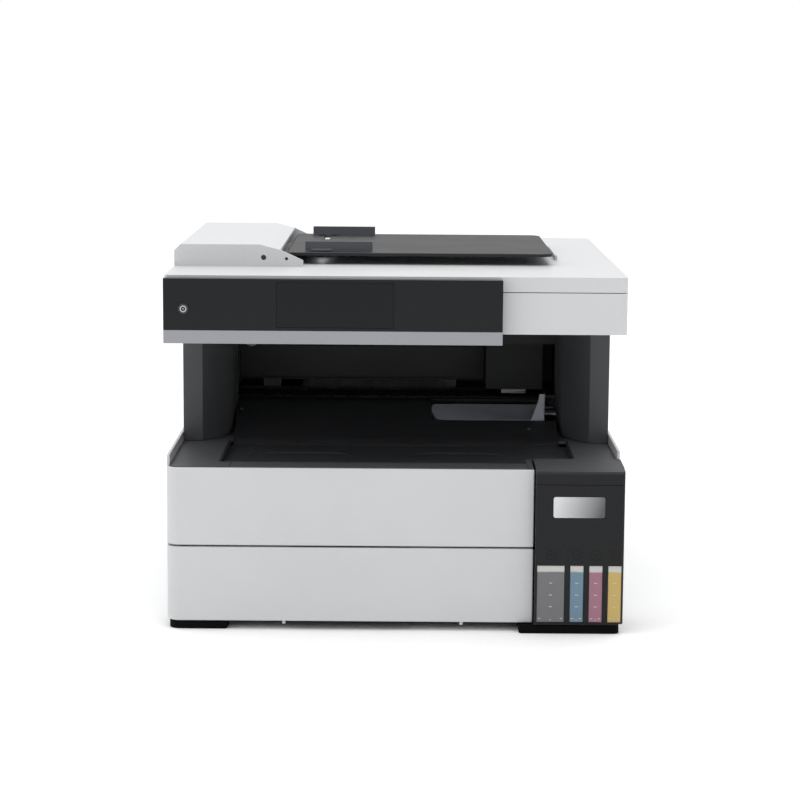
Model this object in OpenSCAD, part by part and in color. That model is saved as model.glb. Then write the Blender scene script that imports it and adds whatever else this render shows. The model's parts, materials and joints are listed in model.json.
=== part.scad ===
// Inkjet multifunction printer with two paper cassettes, refillable ink tanks, an output bay
// between two pillars, a lifting scanner unit and a low document feeder.
// Millimetres. Origin on the standing surface under the middle of the machine, front towards -Y, +Z up.

/* [Body] */
// Width of the whole machine
body_w = 428; // [400:1:516]
// Depth of the whole machine, ink tank front to rear door
body_d = 500; // [460:1:600]
// Height of the feet
foot_h = 8; // [6:0.5:12]
// Height of the deck over the cassettes
deck_z = 155; // [148:1:186]
// Height of the open bay between deck and scanner unit
bay_h = 126; // [110:1:150]
// Height of the scanner unit
scanner_h = 38.5; // [34:0.5:46]
// Height of the document cover without the feeder
cover_h = 13.8; // [12:0.1:20]
// Height of the document feeder on the cover
adf_h = 21; // [18:0.5:30]
// Thickness of the outer casings
wall = 2.5; // [2:0.1:3]
// Gap between a moving piece and its neighbour
gap = 0.6; // [0.4:0.1:1]
// Height of the side covers' lip over the deck
lip_h = 9; // [4:0.5:14]

/* [Cassettes] */
// Radius of the front panels' outer corner
corner_r = 12; // [6:1:16]
// Depth of the front panels' return
front_depth = 14; // [12:1:20]
// Visible seam between the two front panels
seam = 1.6; // [1:0.1:3]
// How far the seam lies below the middle of the fronts
seam_drop = 1.5; // [0:0.1:3]
// Outer width of a paper tray
tray_w = 262; // [250:1:290]
// Thickness of the tray's walls
tray_t = 2.2; // [1.6:0.1:3]
// Widest paper
paper_w = 216; // [210:1:216]
// Room behind the trays for the paper's turn
turn_d = 118; // [100:1:140]
// Radius of the pick-up rollers
pickup_r = 11; // [8:0.5:13]

/* [Ink tanks] */
// Width of the ink tank unit
tank_unit_w = 83; // [83:1:100]
// How far the tank unit stands proud of the cassettes
tank_proud = 10; // [4:1:14]
// Depth of the lid over the fillers
lid_d = 61; // [55:1:80]
// Height of the lid's front lip
lid_lip = 12; // [10:0.5:16]
// Width of the black ink's window
black_window_w = 25.8; // [20:0.2:26]
// Width of a colour ink's window
colour_window_w = 12.6; // [9:0.2:13]
// Distance from one colour tank to the next
tank_pitch = 17.7; // [16.5:0.1:17.8]
// Height of the windows
window_h = 54; // [40:1:60]
// Height of the tanks
tank_h = 98; // [80:1:100]
// Radius of a filler neck
neck_r = 5.5; // [4.5:0.1:6]

/* [Output bay] */
// Depth of the print engine behind the bay
engine_d = 250; // [235:1:280]
// Depth of the pillars
pillar_d = 91; // [70:1:100]
// Width of a pillar's front face
pillar_w = 19.5; // [14:0.5:24]
// Width of the engine's cheeks beside the paper mouth
cheek_w = 51; // [45:1:60]
// Height of the ramp's rear edge above the deck
ramp_rise = 26; // [18:1:30]
// Depth of the ramp
ramp_d = 79; // [60:1:90]
// Depth of the recess in front of the ramp
recess_h = 5.5; // [4:0.5:7]

/* [Print engine] */
// Width of the print carriage
carriage_w = 60; // [50:1:70]
// Radius of the paper feed roller
feed_r = 6.4; // [5:0.1:8]
// Radius of the exit roller's tyres
exit_r = 6; // [5:0.1:7]
// Radius of a belt pulley's running face
pulley_r = 7; // [5:0.5:9]
// Radius of a drive motor
motor_r = 14; // [11:0.5:16]

/* [Scanner] */
// Length of the flatbed glass
glass_l = 300; // [300:1:360]
// Width of the flatbed glass
glass_w = 220; // [218:1:230]
// Width of the control panel
panel_w = 312; // [280:1:330]
// Height of the control panel
panel_h = 60; // [54:1:66]
// How far the panel hangs below the scanner unit
panel_drop = 9; // [6:1:14]
// Height of the panel's grip lip
grip_h = 12.3; // [8:0.1:16]
// Width of the touch screen
screen_w = 108; // [90:1:120]
// Radius of the power button
button_r = 5; // [4:0.5:6]

/* [Document feeder] */
// Width of the feeder's hump
hump_w = 102; // [90:1:120]
// Depth of the feeder's hump
hump_d = 290; // [280:1:320]
// Thickness of the input tray
adf_tray_t = 3; // [2.5:0.1:4]
// Radius of the feeder's pick-up roller
adf_roller_r = 7; // [5:0.5:8]

/* [Hidden] */
$fn = 48;

// colours
light = "#cfd1d3";
black = "#26272a";
gloss = "#131416";
steel = "#a9adb2";
coated = "#2e2f31";
rubber = "#1c1c1d";
smoke = "#6a7079";

// small overlap that keeps cuts clean
e = 0.1;

// outer planes
x_left = -body_w/2;
x_right = body_w/2;
y_front = -body_d/2;
y_back = body_d/2;
y_panel = y_front + tank_proud;
y_shell = y_back - 10;
scanner_z = deck_z + bay_h;
scanner_top = scanner_z + scanner_h;
cover_z = scanner_top + 0.7;
cover_top = cover_z + cover_h;
body_h = cover_top + adf_h;

// dividing planes
x_div = x_right - tank_unit_w - 1;
x_tank = x_right - tank_unit_w;
paper_x = (x_left + x_div)/2;
y_return = y_panel + front_depth;
y_tray_end = y_shell - turn_d;
mouth_y = y_back - engine_d;
pillar_y = mouth_y - pillar_d;
ramp_y = mouth_y - ramp_d - 2;
ramp_z = deck_z + ramp_rise;
mouth_x = x_right - cheek_w;
side_t = 2.5;
inner_x = x_right - side_t - 0.5;

// cassette levels
frame_t = 3;
frame_top = deck_z - recess_h - 3;
shelf_t = 2;
rail_h = 10;
tongue_t = 2;
floor_z = foot_h + frame_t;
front_top = deck_z - 0.5;
level_2 = foot_h + 0.5;
front_h = (front_top - level_2 - seam)/2 - seam_drop;
level_1 = level_2 + front_h + seam;
tray_z1 = level_1 + 3.6;
tray_z2 = floor_z + gap;
shelf_z = tray_z1 - gap - shelf_t;
tray_wall_h = shelf_z - tray_z2 - 2*pickup_r - 4;
pickup_y = y_tray_end - 30;
pickup_z1 = tray_z1 + tray_wall_h + 1.5 + pickup_r;
pickup_z2 = tray_z2 + tray_wall_h + 1.5 + pickup_r;
shaft_r = 4;
shaft_fit = 0.05;
guide_l = 150;
guide_t = 2.4;
guide_x = paper_w/2 + 1;
guide_slots = [-60, 20];
door_w = 224;
door_hinge_y = y_shell + 4;
door_hinge_z = foot_h + 33.5;
box_x0 = x_tank + 8;
box_x1 = x_right - 14;
box_z0 = deck_z - 68;
inlet_x = x_tank + 27;
inlet_z = foot_h + 25;
port_x = x_right - 24;
port_z = [foot_h + 23, foot_h + 43];

// ink tanks
tank_wall = 1.5;
tank_front = y_front + wall + 0.5;
tank_d = lid_d - wall - 1.5;
lid_y = y_front + lid_d;
lid_z = deck_z - 0.5 - lid_lip;
black_window_x = x_tank + tank_wall;
tube_gap = 4.4;
tank_fit = 0.25;
black_tank_w = black_window_w + 0.6;
colour_tank_w = colour_window_w + 0.6;
black_x = black_window_x + tank_fit + black_tank_w/2;
colour_x = x_right - tank_wall - tank_fit - colour_tank_w/2;
housing_z = foot_h + tongue_t + 0.2;
tank_z = housing_z + 1.5;
tank_top = tank_z + tank_h;
window_z = tank_z;
neck_y = y_front + 32;
neck_top = tank_top + 16;
hinge_dy = 12;
cap_h = 7;

// print engine levels
roller_z = ramp_z + 0.8 - feed_r;
feed_y = mouth_y + 112;
exit_y = mouth_y + 48;
exit_z = roller_z;
frame_x0 = -mouth_x - 8;
frame_x1 = mouth_x - 6;
plate_t = 1.5;
rail_y = mouth_y + 128;
rail_z0 = ramp_z + 7;
rail_z1 = ramp_z + 77;
belt_z = ramp_z + 52;
belt_y = rail_y - 8;
belt_w = 5;
belt_t = 1.2;
pulley_x = mouth_x - 20;
pulley_x0 = -mouth_x + 6;
carriage_x = frame_x1 - 3.5 - carriage_w/2;
carriage_y0 = mouth_y + 40;
carriage_z0 = ramp_z + 9;
carriage_h = 55;

// scanner, panel and cover
hinge_y = y_shell - 8;
hinge_z = scanner_z - 10;
hinge_x = [x_left + 30, x_right - 42];
hinge_r = 3;
plate_z = scanner_top - 3.5;
panel_y0 = y_front + 0.6;
panel_y1 = y_panel;
panel_z0 = scanner_z - panel_drop;
panel_x1 = x_left + panel_w;
tilt_y = panel_y0 + 5.5;
tilt_z = panel_z0 + panel_h - 4.5;
tilt_r = 2;
panel_ears = [x_left + 40, panel_x1 - 25];
button_x = x_left + 18.5;
button_z = scanner_z + 23;
screen_x = x_left + 158;
cover_hinge_y = y_shell - 5;
cover_hinge_z = cover_z + 5;
cover_posts = [x_left + 52, x_right - 66];
scan_front = y_panel + 2.5;
hump_x1 = x_left + hump_w;
hump_y0 = -hump_d/2 + 5;
hump_y1 = hump_y0 + hump_d;
hump_mid = (hump_y0 + hump_y1)/2;
adf_hinge_x = x_left + 2.2;
tray_x0 = hump_x1 + 2;
tray_x1 = x_right - 62;
adf_tray_z = cover_top + adf_h - 12.5;
adf_roller_z = cover_top + adf_roller_r + 1.6;
// a larger roller sits further under the hump's flat top
adf_roller_x = hump_x1 + 19 - 5*adf_roller_r;

// ---- building blocks ----

module block(x, y, z) translate([x[0], y[0], z[0]]) cube([x[1] - x[0], y[1] - y[0], z[1] - z[0]]);

// a rectangle with its four corners rounded by r, from [left front] anticlockwise
module plan(x, y, r) {
    difference() {
        translate([x[0], y[0]]) square([x[1] - x[0], y[1] - y[0]]);
        corner_cut(x[0], y[0], 1, 1, r[0]);
        corner_cut(x[1], y[0], -1, 1, r[1]);
        corner_cut(x[1], y[1], -1, -1, r[2]);
        corner_cut(x[0], y[1], 1, -1, r[3]);
    }
}

module corner_cut(x, y, dx, dy, r) {
    if (r > 0) difference() {
        translate([dx > 0 ? x - 1 : x - r, dy > 0 ? y - 1 : y - r]) square([r + 1, r + 1]);
        translate([x + dx*r, y + dy*r]) circle(r);
    }
}

module slab(x, y, z, r = [0, 0, 0, 0]) translate([0, 0, z[0]]) linear_extrude(z[1] - z[0]) plan(x, y, r);

// an open-topped shell with a floor
module tub(x, y, z, t, r = [0, 0, 0, 0]) difference() {
    slab(x, y, z, r);
    slab([x[0] + t, x[1] - t], [y[0] + t, y[1] - t], [z[0] + t, z[1] + 1], [for (a = r) max(0, a - t)]);
}

module rod_x(x, y, z, r) translate([x[0], y, z]) rotate([0, 90, 0]) cylinder(h = x[1] - x[0], r = r);

module rod_y(x, y, z, r) translate([x, y[1], z]) rotate([90, 0, 0]) cylinder(h = y[1] - y[0], r = r);

module rod_z(x, y, z, r) translate([x, y, z[0]]) cylinder(h = z[1] - z[0], r = r);

// an outline in Y and Z drawn out along X
module along_x(x, points) translate([x[0], 0, 0]) rotate([90, 0, 90]) linear_extrude(x[1] - x[0])
    polygon(points);

// an outline in X and Z drawn out along Y
module along_y(y, points) translate([0, y[1], 0]) rotate([90, 0, 0]) linear_extrude(y[1] - y[0])
    polygon(points);

// a flat loop round two equal pulleys in the plane of its outline
module loop2d(length, r) {
    square([length, 2*r], center = true);
    for (s = [-1, 1]) translate([s*length/2, 0]) circle(r);
}

// ---- lower case ----

// moulded tray for both cassettes, with the wall beside the ink tanks and the shelf between the trays
module base_frame() color(black) difference() {
    union() {
        difference() {
            block([-inner_x, inner_x], [y_return + 2, y_shell - 4], [foot_h, floor_z]);
            block([x_tank - 1, x_right], [y_front, lid_y + 0.4], [foot_h - 1, floor_z + 1]);
        }
        // tongue under the ink tank unit
        block([x_tank - 0.4, inner_x - 1], [y_front + 4, lid_y + 6], [foot_h, foot_h + tongue_t]);
        for (x = [-inner_x, x_div - 2.5])
            block([x, x + 2], [y_return + 2, y_shell - 4], [floor_z - e, frame_top]);
        block([inner_x - 2, inner_x], [lid_y + 6, y_shell - 4], [floor_z - e, frame_top]);
        block([-inner_x + e, x_div - 2], [y_return + 6, pickup_y + 4], [shelf_z, shelf_z + shelf_t]);
        // rails beside both trays
        for (z = [floor_z - e, shelf_z + shelf_t - e]) for (s = [-1, 1])
            translate([paper_x + s*(tray_w/2 + gap + 1), 0, 0])
                block([-1, 1], [y_return + 8, pickup_y], [z, z + rail_h]);
    }
    for (z = [pickup_z1, pickup_z2]) rod_x([-inner_x - 1, x_div], pickup_y, z, shaft_r + shaft_fit);
}

// two long front plinths and two rear pads
module feet() color(rubber) {
    slab([x_left + 2, x_left + 57], [y_panel + 3, y_panel + 45], [0, foot_h - 0.2],
        [corner_r - 2, 3, 3, 3]);
    slab([x_tank - 14, x_right - 3], [y_front + 3, y_front + 48], [0, foot_h - 0.2], [3, 6, 3, 3]);
    for (x = [x_left + 12, x_right - 52])
        slab([x, x + 40], [y_shell - 42, y_shell - 12], [0, foot_h - 0.2], [3, 3, 3, 3]);
}

module side_cover(y0) color(light) union() {
    block([x_right - side_t, x_right], [y0, y_shell], [foot_h + 0.5, deck_z + lip_h]);
    // screw bosses that tie the cover to the base frame
    for (y = [y0 + 40, y_shell - 30])
        rod_x([x_right - side_t - 0.45, x_right - side_t + e], y, foot_h + 20, 4);
}

module left_side_cover() mirror([1, 0, 0]) side_cover(y_return + 0.4);

module right_side_cover() side_cover(lid_y + 0.5);

// rear casing with openings for the door, the maintenance box and the sockets
module rear_panel() color(light) difference() {
    union() {
        block([x_left + side_t + 0.4, x_right - side_t - 0.4], [y_shell - 3, y_shell - 0.5],
            [foot_h + 0.5, deck_z - 0.5]);
        for (s = [-1, 1]) translate([paper_x + s*(door_w/2 + 2.1), 0, 0])
            block([-1.5, 1.5], [y_shell - 0.6, y_shell + 7], [door_hinge_z - 3.5, door_hinge_z + 3.5]);
    }
    rod_x([paper_x - door_w/2 - 5, paper_x + door_w/2 + 5], door_hinge_y, door_hinge_z, 1.5 + shaft_fit);
    block([paper_x - door_w/2 + 3, paper_x + door_w/2 - 3], [y_shell - 5, y_shell + 1],
        [foot_h + 34, deck_z + 1]);
    block([box_x0 - 2, box_x1 + 2], [y_shell - 5, y_shell + 1], [box_z0 - 2, deck_z - 14]);
    block([inlet_x - 13, inlet_x + 13], [y_shell - 5, y_shell + 1], [inlet_z - 9, inlet_z + 9]);
    for (z = port_z) block([port_x - 8, port_x + 8], [y_shell - 5, y_shell + 1], [z - 7, z + 7]);
}

// black deck over the cassettes, cut out for the tank lid and the output tray
module top_deck() color(black) difference() {
    union() {
        slab([-inner_x, inner_x], [y_panel + wall + 0.4, mouth_y - 0.5], [deck_z - wall, deck_z],
            [corner_r - 2, 0, 0, 0]);
        // bosses for the flap's pins
        block([flap_x0 - 4, flap_x0 - 0.5], [flap_y - 1.5, flap_y + 3], [deck_z - 4, deck_z - wall + e]);
        block([flap_x1 + 0.5, flap_x1 + 4], [flap_y - 1.5, flap_y + 3], [deck_z - 4, deck_z - wall + e]);
    }
    block([x_div - 0.5, x_right], [y_front - 1, lid_y + 0.6], [deck_z - 8, deck_z + 1]);
    block([flap_x0 - 0.5, flap_x1 + 0.5], [y_panel - 1, flap_y1 + 0.5], [deck_z - 8, deck_z + 1]);
    tray_area(0, 2);
    block([-mouth_x, mouth_x], [ramp_y - 1, mouth_y + 1], [deck_z - 8, deck_z + 1]);
    rod_x([flap_x0 - 3.5, flap_x1 + 3.5], flap_y, flap_z, 1 + shaft_fit);
}

// ---- output tray ----

flap_x0 = x_left + 59.5;
flap_x1 = x_div - 6;
flap_y = y_panel + wall + 1.9;
flap_y1 = flap_y + 26.5;
flap_z = deck_z - 1.5;
recess_x0 = x_left + 47.5;
recess_x1 = x_right - 42.5;

// plan of the sunken tray, grown by d at its open sides
module tray_area(d, t) {
    block([recess_x0 + d, flap_x1 - d], [flap_y1 + d, ramp_y - 0.4], [deck_z - recess_h - t, deck_z + 1]);
    block([recess_x0 + d, recess_x1 - d], [lid_y + 2.5 + d, ramp_y - 0.4],
        [deck_z - recess_h - t, deck_z + 1]);
}

module scoop(x) translate([x, ramp_y - 62, deck_z - recess_h - 0.9]) linear_extrude(3) loop2d(55, 22);

// sunken tray for the printed sheets, with two shallow finger scoops
module output_tray() color(black) difference() {
    intersection() {
        tray_area(0.3, 2.2);
        block([x_left, x_right], [y_front, mouth_y], [deck_z - recess_h - 2.2, deck_z - 0.2]);
    }
    // the hollow above the floor, inside a thin rim
    intersection() {
        tray_area(1.5, 0);
        block([x_left, x_right], [y_front, mouth_y], [deck_z - recess_h, deck_z + 2]);
    }
    block([recess_x0 + 1.5, recess_x1 - 1.5], [ramp_y - 3, mouth_y], [deck_z - recess_h, deck_z + 2]);
    scoop(recess_x0 + 74);
    scoop(flap_x1 - 62);
}

// front flap that stands up to catch the sheets
module output_flap() color(black) union() {
    block([flap_x0, flap_x1], [flap_y, flap_y1], [deck_z - 3, deck_z]);
    rod_x([flap_x0, flap_x1], flap_y, flap_z, 1.5);
    rod_x([flap_x0 - 3, flap_x1 + 3], flap_y, flap_z, 1);
}

// sheet ramp that climbs to the print platen, with the pocket for the ink tube cover
module paper_guide() color(black) difference() {
    union() {
        along_x([-mouth_x + 0.5, mouth_x - 0.5], [[ramp_y, deck_z - 7], [ramp_y, deck_z - 4],
            [slope_y, slope_z], [mouth_y - 1, ramp_z], [mouth_y + 36, ramp_z],
            [mouth_y + 36, ramp_z - 3], [mouth_y, ramp_z - 3], [ramp_y + 9, deck_z - 7]]);
        block([frame_x0 + 3, frame_x1 - 2.5], [exit_y + 9, feed_y - 9], [ramp_z - 4, ramp_z - 1]);
        // two yokes that carry the platen past the exit roller
        for (x = [frame_x0 + 14, frame_x1 - 14])
            along_x([x, x + 4], [[mouth_y + 30, ramp_z - 2.9], [mouth_y + 30, ramp_z - 17],
                [exit_y + 13, ramp_z - 17], [exit_y + 13, ramp_z - 3.9], [exit_y + 9, ramp_z - 3.9],
                [exit_y + 9, ramp_z - 13.2], [mouth_y + 34, ramp_z - 13.2],
                [mouth_y + 34, ramp_z - 2.9]]);
        for (i = [0:12])
            block([paper_x - 104 + i*17, paper_x - 102.5 + i*17], [exit_y + 9, feed_y - 9],
                [ramp_z - 1 - e, ramp_z]);
    }
    // notch for the tube cover
    block([tube_x0 - 0.6, mouth_x], [mouth_y - tube_d, mouth_y + 29], [deck_z - 8, ramp_z + 1]);
}

slope_y = ramp_y + 6;
slope_z = deck_z + 1.5;
slope_a = atan2(ramp_z - slope_z, mouth_y - 1 - slope_y);
tube_x0 = mouth_x - 126;
tube_x1 = mouth_x - 12;
tube_d = 37;

// smoked cover over the ink tubes at the right of the mouth, with its upright end bracket
module ink_tube_cover() color(smoke) {
    translate([0, mouth_y - tube_d + 1.4, ramp_z - tube_d*tan(slope_a) - 2]) rotate([slope_a, 0, 0])
        linear_extrude(2.4) plan([tube_x0, tube_x1], [0, tube_d/cos(slope_a) - 3], [20, 0, 0, 5]);
    // upright end bracket
    along_y([mouth_y - tube_d + 1, mouth_y - tube_d + 3.5],
        [[tube_x1 - 14, ramp_z - 12.5], [tube_x1, ramp_z - 12.5],
        [tube_x1, ramp_z + 15], [tube_x1 - 5, ramp_z + 15], [tube_x1 - 7, ramp_z + 6]]);
    // ledge that ties the cover to the cheek of the engine
    block([tube_x1 - 2, mouth_x + 1], [mouth_y - 20, mouth_y - 0.5], [ramp_z - 9, ramp_z - 6.5]);
    block([tube_x1 - 2, tube_x1], [mouth_y - 34, mouth_y - 2], [ramp_z - 12, ramp_z + 3]);
}

// ---- pillars and engine ----

module pillar() difference() {
    translate([0, 0, deck_z + 0.1]) linear_extrude(bay_h - 0.7)
        polygon([[x_right - side_t - pillar_w, pillar_y], [x_right - side_t - 0.3, pillar_y],
            [x_right - side_t - 0.3, mouth_y - 0.4], [mouth_x + 1.5, mouth_y - 0.4],
            [mouth_x + 5, pillar_y + 35]]);
    translate([0, 0, deck_z + 3]) linear_extrude(bay_h)
        polygon([[x_right - side_t - pillar_w + 1.5, pillar_y + 3],
            [x_right - side_t - 3.3, pillar_y + 3], [x_right - side_t - 3.3, mouth_y - 3.4],
            [mouth_x + 5, mouth_y - 3.4], [mouth_x + 8, pillar_y + 36]]);
}

// hollow pillars that carry the scanner unit at both sides of the bay
module pillars() color(black) {
    pillar();
    mirror([1, 0, 0]) pillar();
}

// frame round the print engine, open above, with the paper mouth in front and the scanner's hinge pins
module engine_hood() color(black) difference() {
    union() {
        difference() {
            block([x_left + side_t + 0.3, x_right - side_t - 0.3], [mouth_y, y_shell - 4],
                [deck_z + 0.1, scanner_z - 0.6]);
            block([x_left + side_t + 3.3, x_right - side_t - 3.3], [mouth_y + 3, y_shell - 7],
                [deck_z - 1, scanner_z]);
        }
        for (x = hinge_x) {
            block([x, x + 4], [y_shell - 18, y_shell - 6.9], [scanner_z - 24, hinge_z + hinge_r]);
            rod_x([x - 6, x + 10], hinge_y, hinge_z, hinge_r);
        }
    }
    block([-mouth_x, mouth_x], [mouth_y - 1, mouth_y + 4], [deck_z - 1, ramp_z + 62]);
    block([paper_x - door_w/2 + 3, paper_x + door_w/2 - 3], [y_shell - 8, y_shell],
        [deck_z - 1, ramp_z + 66]);
    // windows for the hinge knuckles, and the low rear rim that lets the scanner unit swing
    for (x = hinge_x)
        block([x - 8, x + 12], [y_shell - 7.5, y_shell], [hinge_z - hinge_r - 4, scanner_z + 1]);
    block([x_left, x_right], [y_shell - 7.6, y_shell], [scanner_z - 5, scanner_z + 1]);
}

// folded steel frame: rail behind the carriage and the two roller plates
module rail_frame() color(coated) difference() {
    union() {
        block([frame_x0 - 12, frame_x1 + 12], [rail_y, rail_y + plate_t], [rail_z0, rail_z1]);
        block([frame_x0 - 12, frame_x1 + 12], [rail_y, rail_y + 14], [rail_z1 - e, rail_z1 + plate_t]);
        for (x = [frame_x0, frame_x1 - plate_t]) {
            block([x, x + plate_t], [mouth_y + 38, rail_y + plate_t], [deck_z + 4, ramp_z + 6]);
            block([x, x + plate_t], [rail_y - 12, rail_y + plate_t], [ramp_z + 5, rail_z1]);
        }
        // lower fold that the carriage shoe rides over
        block([frame_x0, frame_x1], [rail_y - 5, rail_y + e], [rail_z0, rail_z0 + plate_t]);
    }
    for (x = [frame_x0 - 1, frame_x1 - plate_t - 1]) {
        rod_x([x, x + 4], feed_y, roller_z, shaft_r + shaft_fit);
        rod_x([x, x + 4], exit_y, exit_z, 3 + shaft_fit);
    }
    for (x = [pulley_x0, pulley_x]) rod_y(x, [rail_y - 1, rail_y + 3], belt_z, 2 + shaft_fit);
}

// carriage belt in front of the rail, and paper feed belt on the left-hand plate
module drive_belts() color(rubber) {
    length = pulley_x - pulley_x0;
    translate([(pulley_x + pulley_x0)/2, belt_y + belt_w/2, belt_z]) rotate([90, 0, 0])
        linear_extrude(belt_w) difference() {
        loop2d(length, pulley_r + belt_t + gap/4);
        loop2d(length, pulley_r + gap/4);
    }
    translate([frame_x0 - 7, (feed_y + exit_y)/2, (roller_z + exit_z)/2]) rotate([90, 0, 90])
        linear_extrude(belt_w) difference() {
            loop2d(feed_y - exit_y, 8 + belt_t + gap/4);
            loop2d(feed_y - exit_y, 8 + gap/4);
        }
}

module pulley() {
    rod_y(0, [-belt_w/2 - 0.4, belt_w/2 + 0.4], 0, pulley_r);
    for (s = [-1, 1]) rod_y(0, [s*(belt_w/2 + 0.9) - 0.6, s*(belt_w/2 + 0.9) + 0.6], 0, pulley_r + 1.6);
    rod_y(0, [belt_w/2, rail_y - belt_y + 3.5], 0, 2);
}

module motor_pulley() color("#d8d4c8") translate([pulley_x0, belt_y, belt_z]) union() pulley();

module idler_pulley() color("#d8d4c8") translate([pulley_x, belt_y, belt_z]) pulley();

// carriage motor behind the rail, and paper motor on the left plate
module drive_motors() color(steel) {
    difference() {
        rod_y(pulley_x0, [rail_y + plate_t + 0.2, rail_y + 34], belt_z, motor_r);
        rod_y(pulley_x0, [rail_y, rail_y + 8], belt_z, 2.4);
    }
    difference() {
        rod_x([x_left + side_t + 4.5, frame_x0 - 10], feed_y, roller_z, motor_r);
        rod_x([frame_x0 - 14, frame_x0], feed_y, roller_z, shaft_r + 0.4);
    }
}

// carriage body that hooks over the rail, with the pocket for the dampers
module print_carriage() color(black) difference() {
    union() {
        block([carriage_x - carriage_w/2, carriage_x + carriage_w/2], [carriage_y0, rail_y - 14],
            [carriage_z0, carriage_z0 + carriage_h]);
        block([carriage_x - 22, carriage_x + 22], [rail_y - 14.1, rail_y - 0.8],
            [rail_z0 + plate_t + 0.5, rail_z0 + 14]);
        block([carriage_x - 14, carriage_x + 14], [rail_y - 14.1, belt_y - belt_w/2 - 2],
            [belt_z - 12, belt_z + 4]);
    }
    block([carriage_x - carriage_w/2 + 3, carriage_x + carriage_w/2 - 3], [carriage_y0 + 3, rail_y - 26],
        [carriage_z0 + 20, carriage_z0 + carriage_h + 1]);
    block([carriage_x - 17, carriage_x + 17], [carriage_y0 + 10, carriage_y0 + 52],
        [carriage_z0 - 1, carriage_z0 + 6]);
}

module print_head() color("#8b8f94") {
    block([carriage_x - 16, carriage_x + 16], [carriage_y0 + 11, carriage_y0 + 51],
        [carriage_z0 - 1.5, carriage_z0 + 5.6]);
    block([carriage_x - 13, carriage_x + 13], [carriage_y0 + 15, carriage_y0 + 47],
        [carriage_z0 - 6.5, carriage_z0 - 1.4]);
}

// coated feed shaft with its belt pulley
module feed_roller() color(steel) union() {
    rod_x([frame_x0 + plate_t + 1, frame_x1 - plate_t - 1], feed_y, roller_z, feed_r);
    rod_x([frame_x0 - 12, frame_x1 + 3], feed_y, roller_z, shaft_r);
    rod_x([frame_x0 - 7.2, frame_x0 - 1.6], feed_y, roller_z, 8);
}

// exit shaft with rubber tyres and its belt pulley
module exit_roller() color(steel) union() {
    rod_x([frame_x0 - 8, frame_x1 + 3], exit_y, exit_z, 3);
    rod_x([frame_x0 - 7.2, frame_x0 - 1.6], exit_y, exit_z, 8);
    for (i = [0:5]) rod_x([paper_x - 92 + i*34, paper_x - 80 + i*34], exit_y, exit_z, exit_r);
}

module pickup_roller(z) color(rubber) union() {
    rod_x([-inner_x + 0.4, x_div - 1], pickup_y, z, shaft_r);
    for (x = [paper_x - 30, paper_x + 8]) rod_x([x, x + 22], pickup_y, z, pickup_r);
    for (x = [-inner_x + 2.5, x_div - 4.5]) rod_x([x, x + 1.5], pickup_y, z, shaft_r + 3);
}

module pickup_roller_1() pickup_roller(pickup_z1);

module pickup_roller_2() pickup_roller(pickup_z2);

// four tubes side by side, from the tanks' outlets up into the engine and under the tube cover
function tank_x(i) = i == 0 ? black_x : colour_x - (3 - i)*tank_pitch;

function tube_y(i) = tank_front + tank_d + 10 + tube_gap*i;

function tube_bay_z(i) = deck_z - 20 - tube_gap*i;

function tube_route(i) = [
    [tank_x(i), tank_front + tank_d + 0.3, tank_z + 6],
    [tank_x(i), tube_y(i), tank_z + 6],
    [x_tank + 6, tube_y(i), tank_z + 6],
    [x_tank + 6, tube_y(i), tube_bay_z(i)],
    [x_tank + 6, mouth_y + 12 + tube_gap*i, tube_bay_z(i)],
    [mouth_x + 10 + tube_gap*i, mouth_y + 12 + tube_gap*i, tube_bay_z(i)],
    [mouth_x + 10 + tube_gap*i, mouth_y + 12 + tube_gap*i, ramp_z - 6],
    [tube_x0 + 20, mouth_y + 12 + tube_gap*i, ramp_z - 6]];

module tube(points, r) for (i = [0:len(points) - 2]) {
    a = points[i];
    b = points[i + 1];
    d = b - a;
    if (d[0] != 0) rod_x([min(a[0], b[0]), max(a[0], b[0])], a[1], a[2], r);
    else if (d[1] != 0) rod_y(a[0], [min(a[1], b[1]), max(a[1], b[1])], a[2], r);
    else rod_z(a[0], a[1], [min(a[2], b[2]), max(a[2], b[2])], r);
    if (i > 0) translate(a) sphere(r);
}

module ink_tubes() color("#3a3c40") for (i = [0:3]) tube(tube_route(i), 1.7);

// ---- ink tank unit ----

// black front with four windows, and the floor, sides and cap deck of the unit
module tank_housing() color(black) difference() {
    union() {
        difference() {
            slab([x_tank, x_right], [y_front, lid_y], [housing_z, lid_z - 0.4], [1.5, 3, 0, 0]);
            slab([x_tank + tank_wall, x_right - tank_wall], [y_front + wall, lid_y + 1],
                [housing_z + 1.2, lid_z + 1]);
        }
        block([x_tank + 1, x_right - 1], [y_front + 1, lid_y], [neck_top - 9, neck_top - 7]);
        // ears and pins for the lid
        for (x = lid_ears) {
            block([x, x + 4], [lid_y - 6, lid_y - 2], [neck_top - 7.1, lid_hinge_z]);
            rod_x([x, x + 4], lid_hinge_y, lid_hinge_z, 2.4);
            rod_x([x - 3, x + 7], lid_hinge_y, lid_hinge_z, 1.2);
        }
    }
    window(black_x, black_window_w);
    for (i = [1:3]) window(tank_x(i), colour_window_w);
    for (i = [0:3]) rod_z(tank_x(i), neck_y, [neck_top - 10, neck_top - 6], neck_r + 1.2);
    for (i = [0:3]) block([tank_x(i) - 5.2, tank_x(i) + 5.2], [neck_y + 6, neck_y + 17],
        [neck_top - 10, neck_top - 6]);
    // bed of the plain badge plate
    slab([badge_x - badge_w/2, badge_x + badge_w/2], [y_front - 1, y_front + 0.8],
        [badge_z - badge_h/2, badge_z + badge_h/2]);
}

lid_hinge_y = lid_y - 4;
lid_hinge_z = deck_z - 2;
lid_ears = [x_tank + 8, x_right - 12];
badge_w = 48.6;
badge_h = 20.3;
badge_x = x_tank + 40.5;
badge_z = lid_z - 21.5;

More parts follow.
